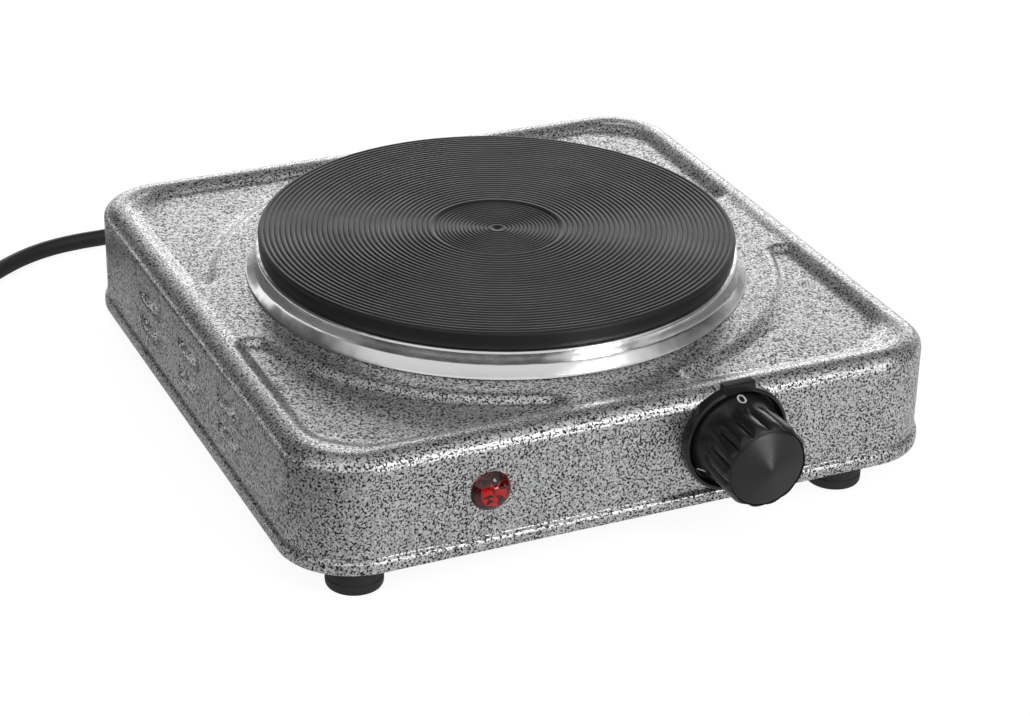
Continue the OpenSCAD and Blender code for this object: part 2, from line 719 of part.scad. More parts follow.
module plug_body() {
    color("#17171a") translate(plug_at) rotate([-90, 0, 0]) rotate_extrude() polygon([
        [0, 0], [4.5, 0], [6.6, plug_tail], [9.5, plug_tail + 1.5], [12.5, plug_tail + 4],
        [14.5, plug_tail + 10], [plug_r - 1.6, plug_tail + 16], [plug_r - 0.2, plug_tail + 18],
        [plug_r - 0.2, plug_tail + plug_len - 1], [plug_r - 1.2, plug_tail + plug_len],
        [0, plug_tail + plug_len]]);
}

module plug_pins() {
    y0 = plug_at.y + plug_tail + plug_len;
    color("#d2d2cf") for (x = [-9.5, 9.5]) translate([plug_at.x + x, 0, plug_at.z])
        rotate([-90, 0, 0]) rotate_extrude() polygon([[0, y0], [plug_pin_r, y0],
            [plug_pin_r, y0 + plug_pin_len - 1.4], [1.2, y0 + plug_pin_len], [0, y0 + plug_pin_len]]);
}

module plug_earth_clips() {
    y0 = plug_at.y + plug_tail + plug_len;
    color("#c9a24a") for (z = [-1, 1])
        translate([plug_at.x - 3, y0 - 10, plug_at.z + z * (plug_r - 0.7) - 0.4]) cube([6, 10.4, 0.8]);
}

housing();
base_plate();
feet();
foot_screws();
base_screws();
hot_plate();
trim_ring();
coil_cement();
heating_coil();
insulation_disc();
plate_cover();
centre_stud();
clamp_bar();
heat_shield();
stud_washer();
stud_nut();
element_pins();
element_insulators();
thermal_limiter();
limiter_ring();
thermostat_body();
thermostat_bracket();
thermostat_bush();
thermostat_screws();
thermostat_spindle();
moving_blade();
fixed_blade();
knob();
knob_cap();
knob_spring();
bezel();
lamp_lens();
lamp_sleeve();
neon_bulb();
lamp_clip();
lamp_leads();
terminal_block();
terminal_screws();
live_wire();
neutral_wire();
earth_wire();
switched_wire();
limiter_wire();
earth_screw();
strain_relief();
cord_core();
cord_clamp();
cord_clamp_screws();
cord();
cord_coil();
cord_end();
cord_tie();
plug_body();
plug_pins();
plug_earth_clips();
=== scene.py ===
import json
import math

import bpy
import bmesh
import numpy as np
from mathutils import Matrix, Vector


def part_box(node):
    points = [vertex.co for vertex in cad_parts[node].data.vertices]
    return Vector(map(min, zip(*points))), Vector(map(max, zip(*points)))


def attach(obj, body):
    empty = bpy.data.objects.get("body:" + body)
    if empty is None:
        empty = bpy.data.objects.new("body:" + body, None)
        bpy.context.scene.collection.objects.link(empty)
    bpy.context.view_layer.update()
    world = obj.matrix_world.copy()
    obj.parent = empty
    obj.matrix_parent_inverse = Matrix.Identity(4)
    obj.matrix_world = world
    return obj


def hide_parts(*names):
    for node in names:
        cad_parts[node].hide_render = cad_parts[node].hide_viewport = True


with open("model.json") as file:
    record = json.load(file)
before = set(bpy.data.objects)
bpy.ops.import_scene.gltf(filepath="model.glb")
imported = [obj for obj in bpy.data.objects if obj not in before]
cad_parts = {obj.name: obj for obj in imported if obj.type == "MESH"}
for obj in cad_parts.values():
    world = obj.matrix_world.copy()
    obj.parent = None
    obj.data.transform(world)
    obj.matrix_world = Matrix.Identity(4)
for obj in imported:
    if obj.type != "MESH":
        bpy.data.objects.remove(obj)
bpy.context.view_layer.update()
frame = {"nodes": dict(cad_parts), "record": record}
scene = bpy.context.scene
MM = 0.001


# ---- camera ----------------------------------------------------------------------

AZIMUTH, ELEVATION, ROLL = -25.973, 27.172, 1.823      # degrees
AIM, DISTANCE = (0.00446, -0.03555, 0.035), 1.01288    # metres
LENS, SHIFT_X = 93.32, -0.04375


def make_camera():
    azimuth, elevation, roll = (math.radians(v) for v in (AZIMUTH, ELEVATION, ROLL))
    back = Vector((math.sin(azimuth) * math.cos(elevation),
                   -math.cos(azimuth) * math.cos(elevation), math.sin(elevation)))
    level = (-back).cross(Vector((0, 0, 1))).normalized()
    up = level.cross(-back)
    right = math.cos(roll) * level + math.sin(roll) * up
    top = -math.sin(roll) * level + math.cos(roll) * up
    data = bpy.data.cameras.new("camera")
    data.lens = LENS
    data.sensor_width = 36
    data.shift_x = SHIFT_X
    data.clip_start = 0.05
    camera = bpy.data.objects.new("camera", data)
    camera.matrix_world = (Matrix.Translation(Vector(AIM) + back * DISTANCE)
                           @ Matrix((right, top, back)).transposed().to_4x4())
    scene.collection.objects.link(camera)
    scene.camera = camera


make_camera()


# ---- materials -------------------------------------------------------------------

def add_node(tree, kind, inputs=None, **settings):
    """A node with its settings, and its inputs set or, where they are sockets, linked."""
    made = tree.nodes.new(kind)
    for key, value in settings.items():
        setattr(made, key, value)
    for key, value in (inputs or {}).items():
        if isinstance(value, bpy.types.NodeSocket):
            tree.links.new(value, made.inputs[key])
        else:
            made.inputs[key].default_value = value
    return made


class Look:
    """A node material; every texture is laid in the object's own space, in metres."""

    def __init__(self, name, **sockets):
        self.material = bpy.data.materials.new(name)
        self.material.use_nodes = True
        self.tree = self.material.node_tree
        self.shader = self.tree.nodes["Principled BSDF"]
        self.place = self.node("ShaderNodeTexCoord").outputs["Object"]
        for key, value in sockets.items():
            self.shader.inputs[key.replace("_", " ")].default_value = value

    def node(self, kind, inputs=None, **settings):
        return add_node(self.tree, kind, inputs, **settings)

    def noise(self, scale, detail=2.0, roughness=0.5, distortion=0.0, stretch=None):
        place = self.place
        if stretch:
            place = self.node("ShaderNodeMapping", {"Vector": place, "Scale": stretch}).outputs[0]
        return self.node("ShaderNodeTexNoise", {
            "Vector": place, "Scale": scale, "Detail": detail, "Roughness": roughness,
            "Distortion": distortion}).outputs["Fac"]

    def remap(self, value, low, high, to_low=0.0, to_high=1.0):
        return self.node("ShaderNodeMapRange", {
            "Value": value, "From Min": low, "From Max": high,
            "To Min": to_low, "To Max": to_high}).outputs["Result"]

    def math(self, operation, a, b=0.0):
        return self.node("ShaderNodeMath", {0: a, 1: b}, operation=operation).outputs[0]

    def mix(self, factor, a, b):
        a, b = ((*v, 1.0) if isinstance(v, tuple) else v for v in (a, b))
        return self.node("ShaderNodeMix", {0: factor, 6: a, 7: b}, data_type="RGBA").outputs[2]

    def bump(self, height, strength, distance):
        made = self.node("ShaderNodeBump", {"Height": height, "Strength": strength,
                                            "Distance": distance})
        previous = self.shader.inputs["Normal"].links
        if previous:
            self.tree.links.new(previous[0].from_socket, made.inputs["Normal"])
        self.set("Normal", made.outputs[0])

    def set(self, socket, value):
        self.tree.links.new(value, self.shader.inputs[socket])


def hammertone():
    """Silver paint that crawls off dark pits, as hammer finish does."""
    look = Look("hammertone", Metallic=0.9, IOR=1.5, Coat_Weight=0.4, Coat_Roughness=0.3)
    drift = look.remap(look.noise(38, 1.0), 0.3, 0.7, -0.015, 0.015)
    grain = look.math("ADD", look.noise(1290, 2.0, 0.5, 0.3), drift)
    pit = look.remap(grain, 0.480, 0.438)
    tone = look.remap(look.noise(760, 2.0, 0.6), 0.32, 0.68, 0.0, 1.0)
    silver = look.mix(tone, (0.50, 0.505, 0.51), (0.90, 0.905, 0.91))
    look.set("Base Color", look.mix(pit, silver, (0.016, 0.016, 0.017)))
    look.set("Roughness", look.remap(grain, 0.4, 0.62, 0.42, 0.30))
    look.bump(grain, 0.35, 0.00012)
    return look.material


def cast_iron():
    """Turned iron under a baked black coat."""
    look = Look("cast_iron", Metallic=0.0, IOR=1.46)
    patch = look.noise(55, 4.0, 0.6)
    fine = look.noise(2600, 2.0)
    look.set("Base Color", look.mix(patch, (0.007, 0.007, 0.0075), (0.012, 0.012, 0.0125)))
    look.set("Roughness", look.remap(patch, 0.3, 0.7, 0.44, 0.34))
    look.bump(fine, 0.25, 0.00006)
    return look.material


def polished_steel():
    """Bright pressed steel, slightly wavy and smeared."""
    look = Look("trim_steel", Metallic=1.0)
    smear = look.noise(34, 3.0, 0.6, 0.6)
    look.set("Base Color", look.mix(smear, (0.72, 0.72, 0.73), (0.86, 0.86, 0.87)))
    look.set("Roughness", look.remap(smear, 0.3, 0.7, 0.13, 0.27))
    look.bump(look.noise(60, 2.0, 0.5), 0.5, 0.0012)
    return look.material


def plain(slot, light, dark, metallic=0.0, rough=(0.3, 0.5), scale=120.0, grain=900.0,
          relief=0.2, depth=0.00005, stretch=None, **sockets):
    """A finish with mottled colour and roughness and a fine relief."""
    look = Look(slot, Metallic=metallic, **sockets)
    mottle = look.noise(scale, 4.0, 0.6, 0.0, stretch)
    look.set("Base Color", look.mix(look.remap(mottle, 0.3, 0.7), dark, light))
    look.set("Roughness", look.remap(mottle, 0.3, 0.7, rough[0], rough[1]))
    look.bump(look.noise(grain, 3.0, 0.6, 0.0, stretch), relief, depth)
    return look.material


def glass(slot, colour, rough):
    look = Look(slot, Metallic=0.0, IOR=1.6, Transmission_Weight=1.0)
    cloud = look.noise(300, 2.0)
    look.set("Base Color", look.mix(cloud, colour, tuple(0.9 * c for c in colour)))
    look.set("Roughness", look.remap(cloud, 0.3, 0.7, 0.5 * rough, rough))
    return look.material


def steel(slot, tone, rough=(0.25, 0.45), stretch=None):
    dark = tuple(0.72 * c for c in tone)
    return plain(slot, tone, dark, 1.0, rough, 90.0, 1400.0, 0.25, 0.00006, stretch)


def rubber(slot, tone=(0.016, 0.016, 0.017), rough=(0.5, 0.66)):
    light = tuple(1.5 * c for c in tone)
    return plain(slot, light, tone, 0.0, rough, 160.0, 2200.0, 0.35, 0.00008)


def plastic(slot, tone, rough=(0.22, 0.34)):
    light = tuple(1.2 * c for c in tone)
    return plain(slot, light, tone, 0.0, rough, 140.0, 1800.0, 0.12, 0.00004)


LOOKS = {
    "hammertone": hammertone(),
    "cast_iron": cast_iron(),
    "trim_steel": polished_steel(),
    "base_steel": steel("base_steel", (0.52, 0.54, 0.55), (0.35, 0.6)),
    "foot_rubber": rubber("foot_rubber"),
    "screw_steel": steel("screw_steel", (0.62, 0.61, 0.57)),
    "cement": plain("cement", (0.62, 0.58, 0.5), (0.46, 0.42, 0.36), rough=(0.8, 0.95), relief=0.5,
                    depth=0.0003),
    "heating_wire": steel("heating_wire", (0.34, 0.28, 0.23), (0.45, 0.7)),
    "mica": plain("mica", (0.72, 0.69, 0.61), (0.55, 0.51, 0.43), rough=(0.35, 0.6)),
    "aluminised_steel": steel("aluminised_steel", (0.66, 0.67, 0.67), (0.3, 0.5)),
    "bracket_steel": steel("bracket_steel", (0.55, 0.56, 0.56)),
    "white_ceramic": plain("white_ceramic", (0.82, 0.80, 0.74), (0.74, 0.72, 0.66),
                           rough=(0.3, 0.5)),
    "limiter_brown": plastic("limiter_brown", (0.17, 0.09, 0.05), (0.4, 0.55)),
    "brass": steel("brass", (0.72, 0.53, 0.24), (0.22, 0.4)),
    "spindle_steel": steel("spindle_steel", (0.6, 0.6, 0.58), (0.2, 0.35), (1, 60, 1)),
    "blade_bronze": steel("blade_bronze", (0.66, 0.42, 0.25), (0.25, 0.4)),
    "knob_plastic": plastic("knob_plastic", (0.012, 0.012, 0.013), (0.20, 0.30)),
    "cap_plastic": plastic("cap_plastic", (0.011, 0.011, 0.012), (0.24, 0.30)),
    "bezel_plastic": plastic("bezel_plastic", (0.012, 0.012, 0.013), (0.16, 0.26)),
    "red_lens": glass("red_lens", (0.62, 0.012, 0.012), 0.03),
    "white_plastic": plastic("white_plastic", (0.70, 0.69, 0.65), (0.35, 0.5)),
    "bulb_glass": glass("bulb_glass", (0.95, 0.75, 0.6), 0.05),
    "wire_sleeve": plain("wire_sleeve", (0.5, 0.3, 0.18), (0.34, 0.19, 0.11), rough=(0.7, 0.9),
                         relief=0.5, depth=0.0002),
    "brown_wire": rubber("brown_wire", (0.13, 0.05, 0.022), (0.35, 0.5)),
    "blue_wire": rubber("blue_wire", (0.02, 0.075, 0.27), (0.35, 0.5)),
    "green_wire": rubber("green_wire", (0.09, 0.26, 0.035), (0.35, 0.5)),
    "pale_wire": rubber("pale_wire", (0.38, 0.36, 0.30), (0.4, 0.55)),
    "cord_rubber": rubber("cord_rubber", (0.012, 0.012, 0.013), (0.36, 0.5)),
    "clamp_plastic": plastic("clamp_plastic", (0.02, 0.02, 0.022), (0.4, 0.55)),
    "pin_nickel": steel("pin_nickel", (0.78, 0.76, 0.72), (0.14, 0.28)),
}


# ---- mesh making -----------------------------------------------------------------

def add_piece(name, points, faces, body, slot, sharp=35.0, look=None):
    """A mesh piece from points in millimetres, smooth except across sharp edges."""
    mesh = bpy.data.meshes.new(name)
    mesh.from_pydata((np.asarray(points, float) * MM).tolist(), [], faces)
    shape = bmesh.new()
    shape.from_mesh(mesh)
    bmesh.ops.recalc_face_normals(shape, faces=shape.faces)
    shape.to_mesh(mesh)
    shape.free()
    mesh.shade_smooth()
    mesh.set_sharp_from_angle(angle=math.radians(sharp))
    mesh.materials.append(look or LOOKS[slot])
    piece = bpy.data.objects.new(name, mesh)
    scene.collection.objects.link(piece)
    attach(piece, body)
    return piece


def grid_faces(rows, columns, wrap_rows=False):
    """Quads of a grid whose columns close on themselves."""
    faces = []
    for i in range(rows if wrap_rows else rows - 1):
        a, b = i * columns, (i + 1) % rows * columns
        faces += [(a + j, a + (j + 1) % columns, b + (j + 1) % columns, b + j)
                  for j in range(columns)]
    return faces


def turned(outline, columns, place, radius=None, closed=False):
    """Points and faces of a shape turned about an axis. The outline has (radius, height)
    points; radius(row, turn) may change a row's radius with the angle. A radius of 0 at
    either end closes the shape in one point."""
    turn = np.arange(columns) * 2 * math.pi / columns
    rows, caps = [], []
    for i, (r, h) in enumerate(outline):
        if r < 1e-6:
            caps.append((i, h))
            continue
        reach = radius(i, turn) if radius else np.full(columns, float(r))
        rows.append(np.stack([reach * np.sin(turn), reach * np.cos(turn),
                              np.full(columns, float(h))], 1))
    points = list(np.concatenate(rows))
    faces = grid_faces(len(rows), columns, closed)
    for i, h in caps:
        start = 0 if i == 0 else (len(rows) - 1) * columns
        points.append(np.array([0.0, 0.0, h]))
        tip = len(points) - 1
        faces += [(start + j, start + (j + 1) % columns, tip) for j in range(columns)]
    return [place(p) for p in points], faces


def upright(x, y):
    """Places a turned shape's axis along Z at x and y."""
    return lambda p: (x + p[0], y + p[1], p[2])


def along_y(x, z):
    """Places a turned shape's axis along Y at x and z; angle 0 is up."""
    return lambda p: (x + p[0], p[2], z + p[1])


def ease(t):
    """Rises smoothly from 0 to 1."""
    t = np.clip(t, 0.0, 1.0)
    return t * t * (3 - 2 * t)


def crest(t, share=0.66):
    """Rises from 0 to 1 along a wide round shoulder, then a tight foot."""
    t = np.clip(t, 0, 1)
    return np.where(t < share, t * t / share, 1 - (1 - t) ** 2 / (1 - share))


def millimetres(node):
    """Lowest and highest corner of a CAD node's box, in millimetres."""
    low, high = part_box(node)
    return low / MM, high / MM


# ---- mains lead ------------------------------------------------------------------

CORD_R = 3.5
CORD_ROUTE = [
    (-40, 160.1, 21), (-40.2, 167, 20.7), (-41.8, 174.6, 19.4), (-45.6, 182.4, 17.1),
    (-51.8, 189.4, 14.0), (-60.5, 194.9, 10.6), (-71, 198.4, 7.2), (-83, 199.8, 4.8),
    (-94, 200, 3.8), (-106, 199.8, 3.6), (-118, 199.4, 3.6), (-130, 197.4, 3.6),
    (-142, 192.8, 3.6), (-153, 186, 3.6),
    (-164, 177.2, 3.6), (-175, 167.2, 3.6), (-186, 156.6, 3.6)]
END_ROUTE = [(-264, 191.5, 11.9), (-264, 203, 14.8), (-264, 214.5, 17.7), (-264, 226, 19)]
COIL = (-222, 180)
COIL_ENTRY, COIL_TRAVEL = -44.5, 1215.5     # degrees
TURN_POINTS = 18
COIL_OUT, COIL_LOW = 42.1, 3.6              # first turn: its radius and height
STEP_IN, STEP_UP = 7.1, 7.0                 # from one turn to the next
MOVE_IN, MOVE_UP, MOVE_OUT = 250, 555, 880  # degrees of travel at which a turn changes place
RAMP = 110                                  # degrees that a turn takes to change place


def coil_point(travel):
    """A point of the coil after so many degrees of travel, clockwise seen from above."""
    out, up = COIL_OUT, COIL_LOW
    out -= STEP_IN * float(ease((travel - MOVE_IN) / RAMP))
    up += STEP_UP * float(ease((travel - MOVE_UP) / RAMP))
    out += STEP_IN * float(ease((travel - MOVE_OUT) / RAMP))
    angle = math.radians(COIL_ENTRY - travel)
    return (COIL[0] + out * math.cos(angle), COIL[1] + out * math.sin(angle), up)


def mains_lead():
    """The lead as one curve: out of the case, round the coil, up to the plug."""
    steps = round(COIL_TRAVEL / 360 * TURN_POINTS)
    route = CORD_ROUTE + [coil_point(COIL_TRAVEL * k / steps) for k in range(steps + 1)] + END_ROUTE
    data = bpy.data.curves.new("mains_lead", "CURVE")
    data.dimensions = "3D"
    data.bevel_depth = CORD_R * MM
    data.bevel_resolution = 6
    data.resolution_u = 6
    data.use_fill_caps = True
    spline = data.splines.new("BEZIER")
    spline.bezier_points.add(len(route) - 1)
    for point, at in zip(spline.bezier_points, route):
        point.co = Vector(at) * MM
        point.handle_left_type = point.handle_right_type = "AUTO"
    data.materials.append(LOOKS["cord_rubber"])
    piece = bpy.data.objects.new("mains_lead", data)
    scene.collection.objects.link(piece)
    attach(piece, "case")
    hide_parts("cord", "cord_coil", "cord_end")
    return piece


lead = mains_lead()


# ---- pieces on the lead ----------------------------------------------------------

def strain_relief():
    """A tapered sleeve with ring cuts, standing out from the back wall."""
    low, high = millimetres("strain_relief")
    wall, tip = high.y - 17, high.y
    outline = [(3.6, wall - 6), (6.0, wall - 6), (6.2, wall - 1.2), (5.1, wall - 1.1), (5.1, wall),
               (6.2, wall), (6.4, wall + 0.3), (6.4, wall + 1.6), (6.0, wall + 2.0)]
    count = 6
    step = (tip - wall - 3.4) / count
    for k in range(count):
        start = wall + 2.4 + k * step
        r = 5.6 - 1.15 * k / count
        outline += [(r - 0.75, start), (r - 0.75, start + 0.55), (r, start + 0.75),
                    (r - 0.08, start + step - 0.15)]
    outline += [(4.35, tip - 0.5), (4.05, tip), (3.6, tip)]
    points, faces = turned(outline, 48, along_y((low.x + high.x) / 2, (low.z + high.z) / 2),
                           closed=True)
    piece = add_piece("strain_relief_sleeve", points, faces, "case", "cord_rubber")
    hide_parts("strain_relief")
    return piece


def cord_tie():
    """A soft strap round the coil with its loose end tucked over itself."""
    low, high = millimetres("cord_tie")
    middle = (low.x + high.x) / 2
    half = (high.y - low.y) / 2 - 0.55
    side = (low.y + high.y) / 2
    bottom, top = low.z + 0.55, high.z - 0.75
    corner = 3.0
    path = []
    left, right = side - half + corner, side + half - corner
    for cx, cz, start in ((right, top - corner, 0), (left, top - corner, 90),
                          (left, bottom + corner, 180), (right, bottom + corner, 270)):
        for k in range(9):
            a = math.radians(start + 90 * k / 8)
            path.append((cx + corner * math.cos(a), cz + corner * math.sin(a),
                         math.cos(a), math.sin(a)))
    section = [(-2.7, -0.35), (-2.4, 0.05), (0, 0.12), (2.4, 0.05), (2.7, -0.35), (2.3, -0.55),
               (0, -0.5), (-2.3, -0.55)]
    points = [(middle + s, y + n * ny, z + n * nz) for y, z, ny, nz in path for s, n in section]
    faces = grid_faces(len(path), len(section), True)
    base = len(points)
    flap = [(side - 5.2 + 1.15 * k, top + 0.15 + 0.35 * math.sin(k * 0.45))
            for k in range(10)]
    for y, z in flap:
        points += [(middle + 0.85 * s, y, z + 0.55 * (n + 0.5)) for s, n in section]
    n = len(section)
    faces += [tuple(base + v for v in f) for f in grid_faces(len(flap), n)]
    faces += [tuple(base + k for k in range(n)),
              tuple(base + (len(flap) - 1) * n + k for k in range(n))]
    piece = add_piece("cord_tie_strap", points, faces, "case", "clamp_plastic", 50)
    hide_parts("cord_tie")
    return piece


def plug():
    """A moulded round plug: ribbed tail, flared grip and a two-pin face."""
    low, high = millimetres("plug_body")
    x, z = (low.x + high.x) / 2, (low.z + high.z) / 2
    start, end = low.y, high.y
    outline = [(0, start), (3.6, start), (4.4, start + 0.4)]
    for k in range(6):
        at = start + 1.6 + 3.4 * k
        r = 4.6 + 0.33 * k
        outline += [(r, at), (r - 0.9, at + 0.3), (r - 0.9, at + 1.1), (r + 0.05, at + 1.5)]
    outline += [(6.8, start + 22.6), (7.6, start + 24.2), (9.6, start + 25.6), (12.4, start + 28),
                (14.0, start + 31.5), (14.6, start + 35), (15.4, start + 38), (17.2, start + 40.4),
                (18.5, start + 42), (18.8, start + 43), (18.8, end - 1), (18.3, end - 0.3),
                (17.6, end), (15.6, end), (15.2, end - 0.5), (14.8, end), (0, end)]
    grip = [i for i, (r, h) in enumerate(outline) if 26 < h - start < 41.9]

    def radius(i, turn):
        r = outline[i][0]
        if i in grip:
            return r - 0.55 * np.clip(np.cos(12 * turn), 0, 1) ** 2
        return np.full(len(turn), float(r))

    points, faces = turned(outline, 96, along_y(x, z), radius)
    piece = add_piece("plug_shell", points, faces, "case", "cord_rubber")
    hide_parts("plug_body")
    return piece


sleeve, strap, shell = strain_relief(), cord_tie(), plug()


# ---- case ------------------------------------------------------------------------

LIP = 1.3                                   # how far the bottom bead stands out
CORNER = 27.0                               # radius of the case's upright corners
DECK = 53.0                                 # height of the deck
BURNER_HOLE = 88.0
RIM_UP, RIM_WIDE = 0.55, 5.0                # the low rim round the deck
ROLL_IN, ROLL_DOWN = 7.4, 5.0               # the rolled edge between deck and wall
PANEL_HALF, PANEL_DEPTH = 119.2, 2.2        # sunk corner panels
PANEL_ARC, BRIDGE = 107.05, 23.2            # their arc's radius; half of a bridge between them
PANEL_SLOPE, ARC_SLOPE, BRIDGE_SLOPE = 7.2, 5.6, 4.6
PANEL_SOFT = 1.25                           # how soft the corners between two slopes are
LOUVRE_Y, LOUVRE_TOP = (44, -3, -50), (41.5, 29.0)
LOUVRE_HALF, LOUVRE_TALL, LOUVRE_DEEP = 14.0, 7.0, 4.8
SLOT_HALF = 12.9                            # half length of the opening above a louvre
WALL_STEPS, CORNER_STEPS = (176, 132), 26   # columns on the side and end walls, and in a corner
ROUND_DECK = 110                            # the deck's mesh runs in circles up to this radius
DECK_EDGE = 16.6                            # and along the outline, less than this far inside it
BLEND_RINGS, EDGE_RINGS, ROLL_RINGS = 13, 16, 12
WALL_LEVELS = (47.2, 45.6, 44.2, 42.8)      # rings of the wall above the louvres
LOUVRE_ROWS = (0.0, 0.05, 0.35, 0.9, 1.6, 2.4, 3.2, 4.0, 4.8, 5.5, 6.2, 7.0)
ROWS_BELOW = ((7.9, 9.2), (7.9, 9.2, 10.8))
BEAD = [(0.0, 17.0), (0.0, 16.0), (0.08, 15.5), (0.35, 15.15), (0.5, 14.9), (0.35, 14.65),
        (-0.35, 14.45), (-0.9, 14.15), (-1.2, 13.6), (-1.3, 12.8), (-1.3, 11.4), (-1.25, 10.3),
        (-1.1, 9.8), (-0.8, 9.5)]           # (in from the wall, height)


def inset_of(x, y, half_x, half_y, corner):
    """How far a point lies inside a rounded rectangle."""
    over_x, over_y = np.abs(x) - half_x + corner, np.abs(y) - half_y + corner
    return corner - np.hypot(np.maximum(over_x, 0), np.maximum(over_y, 0)) \
        - np.minimum(np.maximum(over_x, over_y), 0)


def deck_height(x, y, half_x, half_y):
    """Height of the deck: a low rim round it and four sunk corner panels."""
    inset = inset_of(x, y, half_x, half_y, CORNER)
    rim = RIM_UP * (1 - ease((inset - ROLL_IN) / RIM_WIDE))
    reach = np.stack([inset_of(x, y, PANEL_HALF, PANEL_HALF, CORNER) / PANEL_SLOPE,
                      (np.hypot(x, y) - PANEL_ARC) / ARC_SLOPE,
                      (np.abs(x) - BRIDGE) / BRIDGE_SLOPE, (np.abs(y) - BRIDGE) / BRIDGE_SLOPE])
    inside = PANEL_SOFT - np.sqrt((np.maximum(PANEL_SOFT - reach, 0) ** 2).sum(0))
    return DECK + rim - PANEL_DEPTH * crest(inside)


def louvre_depth(along, height):
    """How far the louvres are pressed in at a place on a side wall; deepest at the rear."""
    depth = np.zeros(np.broadcast(along, height).shape)
    for y in LOUVRE_Y:
        t = (along - y) / LOUVRE_HALF
        ends = np.clip((1 - t) / 0.16, 0, 1) * np.clip((1 + t) / 1.5, 0, 1) ** 0.7
        for top in LOUVRE_TOP:
            down = (top - height) / LOUVRE_TALL
            fall = np.where((down > 0) & (down < 1),
                            0.5 + 0.5 * np.cos(math.pi * np.clip(down, 0, 1)), 0)
            depth = np.maximum(depth, LOUVRE_DEEP * ends * fall ** 0.8)
    return depth


def case_columns(half_x, half_y):
    """Points of the wall's outline: the middle of their corner, and their outward direction."""
    reach_x, reach_y = half_x - CORNER, half_y - CORNER
    corners = [(reach_x, reach_y), (-reach_x, reach_y), (-reach_x, -reach_y), (reach_x, -reach_y)]
    base, out = [], []
    for side in range(4):
        a, b = corners[side - 1], corners[side]
        count = WALL_STEPS[side % 2]
        for k in range(count):
            base.append((a[0] + (b[0] - a[0]) * k / count, a[1] + (b[1] - a[1]) * k / count))
            out.append((math.cos(side * math.pi / 2), math.sin(side * math.pi / 2)))
        for k in range(CORNER_STEPS):
            angle = (side + k / CORNER_STEPS) * math.pi / 2
            base.append(b)
            out.append((math.cos(angle), math.sin(angle)))
    return np.array(base), np.array(out)


def case_rings(base, out, half_x, half_y, bottom):
    """Rings of the outer face from the burner's hole down to the bead. Each has its plan and
    heights, how far in and up the sheet's inner face lies, whether the inner face has the
    ring as well, and its level on an upright wall."""
    rings = []

    def ring_at(inset):
        return base + out * (CORNER - inset)

    def level_ring(inset, z, push_in, push_up, keep, level=None):
        rings.append((ring_at(inset), np.full(len(base), z), push_in, push_up, keep, level))

    def deck_ring(plan, keep):
        z = deck_height(plan[:, 0], plan[:, 1], half_x, half_y)
        rings.append((plan, z, 0.0, -1.0, keep, None))

    inner = ring_at(DECK_EDGE)
    angle = np.arctan2(inner[:, 1], inner[:, 0])
    circle = np.stack([np.cos(angle), np.sin(angle)], 1)
    for k in range(int(ROUND_DECK - BURNER_HOLE) + 1):
        deck_ring(circle * (BURNER_HOLE + k), k % 2 == 0)
    for k in range(1, BLEND_RINGS):
        t = k / BLEND_RINGS
        deck_ring(circle * ROUND_DECK * (1 - t) + inner * t, k % 2 == 0)
    for k in range(EDGE_RINGS):
        deck_ring(ring_at(DECK_EDGE - (DECK_EDGE - ROLL_IN) * k / EDGE_RINGS), k % 2 == 1)
    for k in range(ROLL_RINGS + 1):
        a = math.pi / 2 * k / ROLL_RINGS
        level_ring(ROLL_IN * (1 - math.sin(a)), DECK + RIM_UP - ROLL_DOWN * (1 - math.cos(a)),
                   math.sin(a), -math.cos(a), k % 2 == 0)
    levels = list(WALL_LEVELS)
    for top, below in zip(LOUVRE_TOP, ROWS_BELOW):
        levels += [top - step for step in (*LOUVRE_ROWS, *below)]
    for n, z in enumerate(levels):
        edge = any(abs(z - top) < 0.06 for top in LOUVRE_TOP)
        level_ring(0.0, z, 1.0, 0.0, edge or n % 2 == 1, z)
    for n, (inset, z) in enumerate(BEAD):
        level_ring(inset, z + bottom - BEAD[-1][1], 0.8, 0.0, n % 2 == 1)
    return rings


def case_openings(levels, outer, inner_skin, out):
    """Which cells of the inner face are open: above the louvres, and for the controls and
    the lead. The faces are relative to the middle of the case."""
    rows, columns = len(inner_skin), len(inner_skin[0])
    opening = np.zeros((rows - 1, columns), bool)
    facing = out[::2]
    side_wall = np.abs(facing[:, 0]) > 0.999
    for top in LOUVRE_TOP:
        row = next(i for i in range(rows) if levels[i] == top)
        y = outer[row][::2, 1]
        ahead = np.roll(y, -1)
        for place in LOUVRE_Y:
            away = np.maximum(abs(y - place), abs(ahead - place))
            opening[row] |= side_wall & (away < SLOT_HALF)
    flat = [skin[:, [0, 2]] for skin in inner_skin]
    middles = np.stack([(flat[i] + np.roll(flat[i], -1, 0)
                         + flat[i + 1] + np.roll(flat[i + 1], -1, 0)) / 4
                        for i in range(rows - 1)])
    for node, wall, lift, reach in (("bezel", -1, -1.0, 5.0), ("lamp_lens", -1, 0.0, 4.2),
                                    ("strain_relief", 1, 0.0, 4.0)):
        low, high = millimetres(node)
        x, z = (low.x + high.x) / 2, (low.z + high.z) / 2 + lift
        opening |= ((facing[:, 1] * wall > 0.999)[None, :]
                    & (abs(middles[:, :, 0] - x) < reach) & (abs(middles[:, :, 1] - z) < reach))
    return opening


